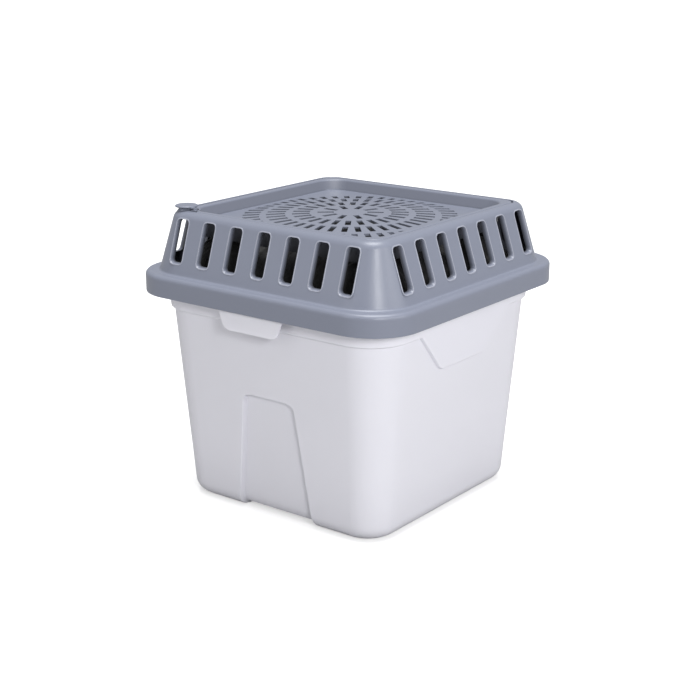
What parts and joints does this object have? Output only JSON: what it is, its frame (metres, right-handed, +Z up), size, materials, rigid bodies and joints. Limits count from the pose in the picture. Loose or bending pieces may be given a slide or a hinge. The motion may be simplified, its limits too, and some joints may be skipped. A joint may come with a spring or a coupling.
{
  "type": "moisture absorber",
  "caption": "Square tapered tub with a slotted lid, drop-in grille tray, tethered pour plug, and an inner strainer basket holding a desiccant bag over a brine sump",
  "frame": {"origin": "middle of the tub's flat underside, where it stands on the floor", "axes": "+Z up; -Y is the face with the front grip tab and foot recess; the pour plug is in the -X -Y corner"},
  "size_m": [0.28, 0.28, 0.2637],
  "materials": {
    "tub_white": "slightly translucent natural polypropylene, fine satin mould texture",
    "lid_grey": "satin blue-grey polypropylene with a soft sheen",
    "basket_black": "satin black polypropylene",
    "bag_black": "crumpled black non-woven with a faint sheen"
  },
  "bodies": {
    "base": {"tub": "tub_white", "strainer_basket": "basket_black", "desiccant_bag": "bag_black"},
    "lid": {"lid_frame": "lid_grey", "plug_tether": "lid_grey"},
    "tray": {"grille_tray": "lid_grey"},
    "plug": {"pour_plug": "lid_grey"}
  },
  "joints": [
    {"name": "lid_lift", "type": "slide", "parent": "base", "child": "lid", "axis": [0, 0, 1], "range_m": [0, 0.09]},
    {"name": "tray_lift", "type": "slide", "parent": "lid", "child": "tray", "axis": [0, 0, 1], "range_m": [0, 0.05]},
    {"name": "plug_flip", "type": "hinge", "parent": "lid", "child": "plug", "pos_m": [-0.0886, -0.1041, 0.2629], "axis": [0, 1, 0], "range_deg": [0, 150]}
  ]
}
